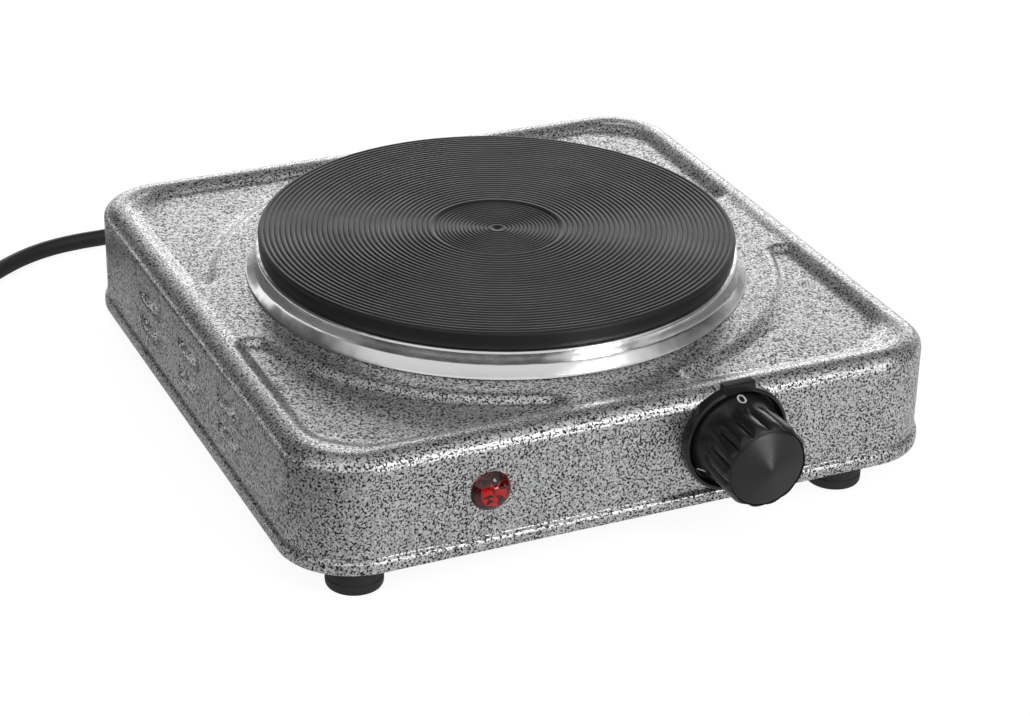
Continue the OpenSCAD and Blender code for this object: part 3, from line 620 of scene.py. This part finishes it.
def case_shell():
    """The pressed case: one sheet with an outer and an inner face, open below."""
    low, high = millimetres("housing")
    half_x, half_y = (high.x - low.x) / 2 - LIP, (high.y - low.y) / 2 - LIP
    base, out = case_columns(half_x, half_y)
    rings = case_rings(base, out, half_x, half_y, low.z)
    columns = len(base)

    side_wall = np.abs(out[:, 0]) > 0.999
    outer, inner_skin, coarse = [], [], []
    for n, (plan, z, push_in, push_up, keep, level) in enumerate(rings):
        if level is not None and level not in LOUVRE_TOP:
            depth = np.where(side_wall, louvre_depth(plan[:, 1], level), 0)
            plan = plan - out * depth[:, None]
        outer.append(np.c_[plan, z])
        if keep or n in (0, len(rings) - 1):
            coarse.append(n)
            inner_skin.append(np.c_[plan - out * push_in, z + push_up][::2])
    rows, inner_columns = len(coarse), columns // 2
    opening = case_openings([rings[n][5] for n in coarse], [outer[n] for n in coarse],
                            inner_skin, out)

    points = np.concatenate(outer + inner_skin) + (0, (low.y + high.y) / 2, 0)
    shift = len(rings) * columns
    faces = []
    for i in range(rows - 1):
        for fine in range(coarse[i], coarse[i + 1]):
            a, b = fine * columns, (fine + 1) * columns
            faces += [(a + j, a + (j + 1) % columns, b + (j + 1) % columns, b + j)
                      for j in range(columns) if not opening[i, j // 2]]
        a, b = shift + i * inner_columns, shift + (i + 1) * inner_columns
        faces += [(a + j, a + (j + 1) % inner_columns, b + (j + 1) % inner_columns, b + j)
                  for j in range(inner_columns) if not opening[i, j]]
    # the sheet's edges: round the hole and the bead, then the openings' upright sides
    closed = np.ones((1, inner_columns), bool)
    state = np.concatenate([closed, opening, closed])
    for i in range(rows):
        a, b = coarse[i] * columns, shift + i * inner_columns
        for j in np.nonzero(state[i] != state[i + 1])[0]:
            n = (j + 1) % inner_columns
            faces.append((a + 2 * j, a + 2 * j + 1, a + 2 * n, b + n, b + j))
    for i in range(rows - 1):
        for j in np.nonzero(opening[i] != np.roll(opening[i], 1))[0]:
            down = [fine * columns + 2 * j for fine in range(coarse[i], coarse[i + 1] + 1)]
            faces.append((*down, shift + (i + 1) * inner_columns + j,
                          shift + i * inner_columns + j))
    piece = add_piece("case_shell", points, [tuple(int(v) for v in f) for f in faces],
                      "case", "hammertone", 50)
    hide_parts("housing")


case_shell()


FOOT_R = 10.4


def feet():
    """Four turned rubber feet with a groove round each."""
    low, high = millimetres("feet")
    radius, tall = FOOT_R, high.z
    outline = [(2.1, 4), (5.2, 4), (5.2, 0.3), (5.5, 0), (9.4, 0), (10.0, 0.25), (10.3, 0.8),
               (radius, 1.5), (radius, 3.6), (10.1, 3.85), (10.1, 4.25), (radius, 4.5),
               (radius, tall - 1.4), (10.2, tall - 1.0), (9.8, tall - 0.8), (9.8, tall),
               (2.1, tall)]
    points, faces = [], []
    for x in (low.x + radius, high.x - radius):
        for y in (low.y + radius, high.y - radius):
            p, f = turned(outline, 56, upright(x, y), closed=True)
            faces += [tuple(len(points) + v for v in face) for face in f]
            points += p
    piece = add_piece("rubber_feet", points, faces, "case", "foot_rubber")
    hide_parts("feet")


feet()


# ---- burner ----------------------------------------------------------------------

GROOVE, DISH_GROOVE = 2.03, 1.55            # pitch of the grooves, outside and in the dish
GROOVE_SHAPE = ((0.07, 0), (0.5, 0), (0.64, 0.2), (0.76, 0.36), (0.88, 0.2))
DISH_R, DISH_START, DISH_GROOVES = 25.7, 3.0, 14
PLATE_SKIRT_R, PLATE_UNDER = 86, 55
CHANNELS, CHANNEL_W, CHANNEL_TOP = (74, 56, 38), 8, 61      # the heating coil's channels
BOSS_R, BOSS_Z, STUD_R, STUD_TOP = 14, 54, 3.05, 62


def hot_plate():
    """Cast plate: a grooved dish, concentric grooves, and the coil's channels below."""
    low, high = millimetres("hot_plate")
    middle = (low.y + high.y) / 2
    top, edge = high.z, high.x
    outline = [(0, top - 1.3), (0.9, top - 1.25), (1.7, top - 0.8), (2.4, top - 0.66)]
    for k in range(DISH_GROOVES):
        r = DISH_START + DISH_GROOVE * k
        z = top - 0.62 + 0.12 * (r / DISH_R) ** 2
        outline += [(r, z), (r + 0.5, z), (r + 0.8, z - 0.2), (r + 1.02, z - 0.34),
                    (r + 1.26, z - 0.2)]
    outline += [(DISH_R - 0.9, top - 0.5), (DISH_R - 0.25, top - 0.1)]
    for k in range(int((edge - 1.5 - DISH_R) / GROOVE)):
        r = DISH_R + GROOVE * k
        outline += [(r + GROOVE * at, top - deep) for at, deep in GROOVE_SHAPE]
    outline += [(edge - 1.5, top), (edge - 0.75, top - 0.12), (edge - 0.25, top - 0.5),
                (edge, top - 1.1), (edge - 0.05, top - 2.4), (edge - 0.3, top - 6.4),
                (edge - 0.7, top - 6.85), (edge - 1.4, top - 7), (PLATE_SKIRT_R, top - 7),
                (PLATE_SKIRT_R, PLATE_UNDER)]
    for r in CHANNELS:
        outline += [(r, PLATE_UNDER), (r, CHANNEL_TOP), (r - CHANNEL_W, CHANNEL_TOP),
                    (r - CHANNEL_W, PLATE_UNDER)]
    outline += [(BOSS_R, PLATE_UNDER), (BOSS_R, BOSS_Z), (STUD_R, BOSS_Z), (STUD_R, STUD_TOP),
                (0, STUD_TOP)]
    points, faces = turned(outline, 224, upright((low.x + high.x) / 2, middle))
    piece = add_piece("grooved_plate", points, faces, "case", "cast_iron", 50)
    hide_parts("hot_plate")


def trim_ring():
    """Pressed ring: a steep collar under the plate, then a flared skirt down to the deck."""
    low, high = millimetres("trim_ring")
    middle, reach, top = (low.y + high.y) / 2, high.x, high.z
    outer = [(86.5, top), (92.9, top), (93.45, top - 0.3), (93.65, top - 0.9), (94.0, top - 2.5),
             (94.4, top - 4.4), (94.62, top - 5.0), (94.95, top - 5.6), (95.9, top - 7.1),
             (96.85, top - 8.55), (97.15, top - 8.9), (reach, top - 9.15)]
    inner = [(reach - 0.5, DECK - 0.1), (96.5, DECK), (95.3, top - 7.6), (94.3, top - 6),
             (93.8, top - 5), (93.4, top - 3), (93.0, top - 1.3), (92.5, top - 0.8),
             (86.5, top - 0.8)]
    points, faces = turned(outer + inner, 224, upright((low.x + high.x) / 2, middle), closed=True)
    piece = add_piece("trim_ring_pressing", points, faces, "case", "trim_steel", 60)
    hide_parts("trim_ring")


hot_plate()
trim_ring()


# ---- controls --------------------------------------------------------------------

cap_low, cap_high = millimetres("knob_cap")
KNOB_X = (cap_low.x + cap_high.x) / 2
KNOB_Z = (cap_low.z + cap_high.z) / 2
TIP = cap_low.y                             # front of the knob's cap
WALL_Y = millimetres("bezel")[1].y          # outer face of the front wall
KNOB_BACK = millimetres("knob")[1].y - 0.2
LOBES, LOBE_STEPS = 14, 24
BLOCK_R, BLOCK_HALF, BLOCK_EDGE = 22.5, 15.4, 1.6               # index block; half width in degrees
BLOCK_ROUNDING = {7: 0.35, 8: 0.1}                              # by row of the bezel's outline
NUMBER_AT = (0, 120, 157.5, 195, 232.5, 270)                    # degrees anticlockwise
NUMBER_SIZE, NUMBER_WIDEN, NUMBER_MIDDLE = 5.6, 1.35, 3.5       # middle: distance from the back
NUMBER_LIFT, NUMBER_R = 0.05, 17.0
SKIRT = [(18.1, 1.0), (17.6, 1.9), (17.0, 3.4), (16.5, 5.2)]    # radius, distance from the back


def bezel():
    """Fixed dial ring with an index block at the top."""
    shape = [(12, 0), (12, 1.4), (18.5, 1.4), (18.75, 1.8), (19.05, 4.0), (19.3, 4.45),
             (19.7, 4.5), (20.2, 4.35), (20.5, 3.95), (20.6, 3.3), (20.6, 0)]
    outline = [(r, WALL_Y - out) for r, out in shape]
    outside = range(7, 11)

    def radius(i, turn):
        r = np.full(len(turn), float(outline[i][0]))
        if i in outside:
            angle = (turn + math.pi) % (2 * math.pi) - math.pi
            block = 1 - ease((np.abs(angle) - math.radians(BLOCK_HALF)) / math.radians(BLOCK_EDGE))
            flat = (BLOCK_R - BLOCK_ROUNDING.get(i, 0)) / np.cos(np.clip(angle, -0.5, 0.5))
            r = r + (flat - r) * block
        return r

    points, faces = turned(outline, 288, along_y(KNOB_X, KNOB_Z), radius, closed=True)
    piece = add_piece("dial_bezel", points, faces, "case", "bezel_plastic", 40)
    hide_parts("bezel")


def knob():
    """Moulded knob: a coned skirt that runs into rounded grip lobes."""
    back, front = KNOB_BACK, TIP + 4.4
    rows = [(0, TIP + 6, 0), (3.05, TIP + 6, 0), (3.05, back + 0.2, 0), (6, back + 0.2, 0),
            (6, back, 0), (17.7, back, 0), (18.1, back - 0.4, 0)]
    rows += [(r, back - d, 0) for r, d in SKIRT]
    # the grip: valley radius, place, and how far the lobes stand out of the valleys
    rows += [(16.15, back - 6.6, 0.05), (15.75, back - 7.8, 0.35), (15.3, back - 9.2, 0.85),
             (15.0, back - 11, 1.3), (14.85, back - 13, 1.6), (14.8, back - 16, 1.72),
             (14.8, back - 20, 1.75), (14.8, front + 2.2, 1.7), (14.8, front + 1.3, 1.5),
             (14.85, front + 0.5, 1.15), (14.9, front - 0.1, 0.75), (14.95, front - 0.45, 0.35),
             (14.93, front - 0.5, 0.1), (14.7, front, 0), (14.6, front + 0.5, 0),
             (0, front + 0.5, 0)]

    def radius(i, turn):
        r, _, lobe = rows[i]
        wave = np.abs(np.sin(LOBES / 2 * turn)) ** 0.75
        return r + lobe * wave

    points, faces = turned([(r, h) for r, h, _ in rows], LOBES * LOBE_STEPS,
                           along_y(KNOB_X, KNOB_Z), radius)
    piece = add_piece("knob_grip", points, faces, "control", "knob_plastic", 40)
    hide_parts("knob")


def knob_cap():
    """Conical cap let into the knob's front."""
    front = TIP
    outline = [(0, front), (0.5, front + 0.03), (1.2, front + 0.16), (2.2, front + 0.42)]
    outline += [(r, front + 0.42 + 0.285 * (r - 2.2)) for r in (4, 6, 8, 10, 12, 13.6)]
    outline += [(14.3, front + 3.92), (14.7, front + 4.2), (14.78, front + 4.7), (0, front + 4.7)]
    points, faces = turned(outline, 160, along_y(KNOB_X, KNOB_Z))
    piece = add_piece("knob_cap_disc", points, faces, "control", "cap_plastic", 40)
    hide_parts("knob_cap")


def dial_numbers():
    """Raised printed numbers on the skirt, 0 under the index at rest."""
    ink = plain("dial_ink", (0.78, 0.78, 0.77), (0.66, 0.66, 0.65), rough=(0.4, 0.55))
    radii, distances = zip(*SKIRT)
    for number, place in enumerate(NUMBER_AT):
        data = bpy.data.curves.new("digit", "FONT")
        data.body = str(number)
        data.size = NUMBER_SIZE
        data.align_x, data.align_y = "CENTER", "CENTER"
        data.extrude = 0.03
        data.resolution_u = 6
        text = bpy.data.objects.new("digit", data)
        scene.collection.objects.link(text)
        mesh = bpy.data.meshes.new_from_object(
            text.evaluated_get(bpy.context.evaluated_depsgraph_get()))
        bpy.data.objects.remove(text)
        shape = bmesh.new()
        shape.from_mesh(mesh)
        bmesh.ops.triangulate(shape, faces=shape.faces)
        bmesh.ops.subdivide_edges(shape, edges=[e for e in shape.edges if e.calc_length() > 0.6],
                                  cuts=2, use_grid_fill=True)
        bmesh.ops.triangulate(shape, faces=shape.faces)
        turn = -math.radians(place)
        for v in shape.verts:
            distance = NUMBER_MIDDLE - v.co.y
            r = float(np.interp(distance, distances, radii)) + NUMBER_LIFT + v.co.z
            a = turn + NUMBER_WIDEN * v.co.x / NUMBER_R
            v.co = Vector((KNOB_X + r * math.sin(a), KNOB_BACK - distance,
                           KNOB_Z + r * math.cos(a))) * MM
        shape.to_mesh(mesh)
        shape.free()
        mesh.name = f"dial_number_{number}"
        mesh.materials.clear()
        mesh.materials.append(ink)
        piece = bpy.data.objects.new(mesh.name, mesh)
        scene.collection.objects.link(piece)
        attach(piece, "control")


bezel()
knob()
knob_cap()
dial_numbers()


# painted light of each facet (0 a glowing painted glint, 1 painted half-shade, 2 painted shadow):
# the eight round the middle, then two rings of sixteen
FACET_PAINTED_LIGHT = (0, 0, 1, 0, 0, 2, 0, 1,
                0, 2, 0, 0, 1, 2, 0, 0, 2, 0, 1, 0, 0, 1, 0, 2,
                1, 2, 1, 2, 2, 1, 2, 1, 1, 2, 2, 1, 2, 1, 2, 2)


def pilot_lamp():
    """Red dome over cut facets, the facets coloured with painted glints and painted shadow."""
    low, high = millimetres("lamp_lens")
    x, z = (low.x + high.x) / 2, (low.z + high.z) / 2
    dome = [(0, 4.6), (1.4, 4.52), (2.8, 4.25), (4.1, 3.78), (5.3, 3.1), (6.3, 2.25),
            (7.05, 1.35), (7.45, 0.7), (7.6, 0.3), (7.6, 0), (5.0, 0), (5.0, -9), (3.25, -9),
            (3.25, 0.2), (0, 0.25)]
    points, faces = turned([(r, WALL_Y - out) for r, out in dome], 72, along_y(x, z))
    piece = add_piece("lamp_dome", points, faces, "case", "red_lens", 50)
    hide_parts("lamp_lens")

    # cut facets moulded behind the dome, coloured in lit and shaded copies of one red: a glowing
    # painted glint, a painted half-shade and a painted shadow
    painted_light_copies = []
    # bright, deep and black are painted light on one red: bright is a glowing painted glint, deep a
    # painted half-shade, black a painted shadow
    for name, light, dark, glow in (("bright", (0.95, 0.04, 0.03), (0.7, 0.02, 0.015), 0.35),
                                    ("deep", (0.40, 0.008, 0.006), (0.22, 0.004, 0.004), 0.04),
                                    ("black", (0.05, 0.002, 0.002), (0.02, 0.001, 0.001), 0.0)):
        look = Look("lamp_" + name, Metallic=0.0, IOR=1.5, Emission_Strength=glow)
        cell = look.noise(420, 1.0, 0.4)
        look.set("Base Color", look.mix(cell, light, dark))
        look.set("Roughness", look.remap(cell, 0.3, 0.7, 0.06, 0.16))
        look.set("Emission Color", look.mix(cell, light, dark))
        painted_light_copies.append(look.material)
    points, faces = [(0, 3.1, 0)], []
    rings = ((2.3, (2.9, 1.9)), (4.6, (1.1, 2.2)), (6.2, (0.9, 0.5)))
    for n, (r, deep) in enumerate(rings):
        for k in range(8):
            a = math.radians(45 * k + 22.5 * (n % 2) + 9)
            points.append((r * math.sin(a), deep[k % 2], r * math.cos(a)))
    faces += [(0, 1 + k, 1 + (k + 1) % 8) for k in range(8)]
    for n in range(2):
        a, b = 1 + 8 * n, 9 + 8 * n
        for k in range(8):
            turn = (k + 1) % 8
            if n == 0:
                faces += [(a + k, b + k, a + turn), (a + turn, b + k, b + turn)]
            else:
                faces += [(a + k, b + turn, a + turn), (a + k, b + k, b + turn)]
    count = len(points)
    points += [(p[0], 0.3, p[2]) for p in points[17:25]]
    faces += [(17 + k, count + k, count + (k + 1) % 8, 17 + (k + 1) % 8) for k in range(8)]
    faces.append(tuple(count + k for k in range(8)))
    points = [(x + px, WALL_Y - py, z + pz) for px, py, pz in points]
    facets = add_piece("lamp_facets", points, faces, "case", "red_lens", 5, look=painted_light_copies[0])
    for shade in painted_light_copies[1:]:
        facets.data.materials.append(shade)
    # each facet takes its painted glint, half-shade or shadow from the table; the skirt round the
    # edge and the back take the painted shadow
    for n, face in enumerate(facets.data.polygons):
        face.material_index = FACET_PAINTED_LIGHT[n] if n < len(FACET_PAINTED_LIGHT) else 2


pilot_lamp()


# ---- carried-over parts ----------------------------------------------------------

for part in frame["record"]["subparts"]:
    mesh = frame["nodes"][part["node"]].data
    mesh.materials.clear()
    mesh.materials.append(LOOKS[part["material_slot"]])


# ---- floor, light ----------------------------------------------------------------

# brightness of the floor in reflections, from left to right: (x in metres, level)
FLOOR_GLOW = ((-0.26, 0.03), (-0.185, 0.08), (-0.15, 0.24), (-0.10, 0.38), (0.3, 0.45),
              (0.8, 0.8))
# brightness of the studio by the sine of the elevation, in three directions
BACK_RIGHT = ((0.0, 1.6), (0.12, 2.1), (0.20, 2.2), (0.36, 2.1), (0.44, 0.92), (0.52, 0.28),
              (0.66, 0.10), (1.0, 0.22))
BACK_LEFT = ((0.0, 1.3), (0.09, 1.2), (0.17, 0.14), (0.52, 0.06), (0.7, 0.10), (1.0, 0.22))
FRONT = ((0.0, 0.05), (0.16, 0.08), (0.28, 0.85), (0.60, 0.75), (0.85, 0.55), (1.0, 0.22))
RIGHT_SHADE = 0.25                              # how much is left at the far right


def ramp_of(tree, value, stops):
    """A ramp through (place, level) stops, at half their level."""
    ramp = tree.nodes.new("ShaderNodeValToRGB")
    elements = ramp.color_ramp.elements
    while len(elements) < len(stops):
        elements.new(0.5)
    for element, (at, level) in zip(elements, stops):
        element.position = at
        element.color = (level / 2, level / 2, level / 2, 1)
    tree.links.new(value, ramp.inputs[0])
    return ramp.outputs[0]


def make_floor():
    mesh = bpy.data.meshes.new("floor")
    mesh.from_pydata([(-8, -8, 0), (8, -8, 0), (8, 8, 0), (-8, 8, 0)], [], [(0, 1, 2, 3)])
    look = Look("floor", Roughness=0.7)
    look.shader.inputs["Specular IOR Level"].default_value = 0.05
    look.set("Base Color", look.mix(look.noise(3), (0.24, 0.24, 0.24), (0.26, 0.26, 0.26)))
    across = look.node("ShaderNodeSeparateXYZ", {0: look.place}).outputs["X"]
    low, high = FLOOR_GLOW[0][0], FLOOR_GLOW[-1][0]
    glow = ramp_of(look.tree, look.remap(across, low, high),
                   [((x - low) / (high - low), 2 * level) for x, level in FLOOR_GLOW])
    seen = look.node("ShaderNodeLightPath").outputs["Is Camera Ray"]
    look.set("Emission Color", look.mix(seen, glow, (0.9, 0.9, 0.9)))
    look.shader.inputs["Emission Strength"].default_value = 1.0
    mesh.materials.append(look.material)
    floor = bpy.data.objects.new("floor", mesh)
    scene.collection.objects.link(floor)


def make_world():
    """White to the camera; in reflections, a studio with a dark and a bright side."""
    world = bpy.data.worlds.new("studio")
    world.use_nodes = True
    tree = world.node_tree
    tree.nodes.clear()

    def node(kind, inputs=None, **settings):
        return add_node(tree, kind, inputs, **settings)

    way = node("ShaderNodeSeparateXYZ", {0: node("ShaderNodeTexCoord").outputs["Generated"]})
    front = node("ShaderNodeMapRange", {"Value": way.outputs["Y"], "From Min": 0.30,
                                        "From Max": -0.10}).outputs[0]
    right = node("ShaderNodeMapRange", {"Value": way.outputs["X"], "From Min": -0.12,
                                        "From Max": 0.22}).outputs[0]
    power = node("ShaderNodeMapRange", {"Value": way.outputs["X"], "From Min": 0.64,
                                        "From Max": 0.82, "To Min": 2.0,
                                        "To Max": 2.0 * RIGHT_SHADE}).outputs[0]
    ramps = [ramp_of(tree, way.outputs["Z"], stops) for stops in (BACK_LEFT, BACK_RIGHT, FRONT)]
    back = node("ShaderNodeMix", {0: right, 6: ramps[0], 7: ramps[1]}, data_type="RGBA").outputs[2]
    both = node("ShaderNodeMix", {0: front, 6: back, 7: ramps[2]}, data_type="RGBA").outputs[2]
    room = node("ShaderNodeBackground", {"Color": both, "Strength": power}).outputs[0]
    seen = node("ShaderNodeBackground", {"Color": (1, 1, 1, 1)}).outputs[0]
    pick = node("ShaderNodeMixShader", {0: node("ShaderNodeLightPath").outputs["Is Camera Ray"],
                                        1: room, 2: seen}).outputs[0]
    node("ShaderNodeOutputWorld", {0: pick})
    scene.world = world


def soft_light(name, place, target, size, power):
    data = bpy.data.lights.new(name, "AREA")
    data.shape = "RECTANGLE"
    data.size, data.size_y = size
    data.energy = power
    light = bpy.data.objects.new(name, data)
    light.location = place
    light.rotation_euler = (Vector(target) - Vector(place)).to_track_quat("-Z", "Y").to_euler()
    scene.collection.objects.link(light)


make_floor()
make_world()
soft_light("overhead", (-0.2, -0.2, 1.7), (0, 0, 0.03), (1.8, 1.8), 4)
soft_light("front_low", (0.50, -1.36, 0.085), (0.04, -0.1, 0.04), (0.40, 0.24), 1.9)
soft_light("front_high", (0.52, -1.12, 0.98), (0.0, -0.1, 0.04), (0.30, 0.42), 2.6)
scene.view_settings.view_transform = "Standard"
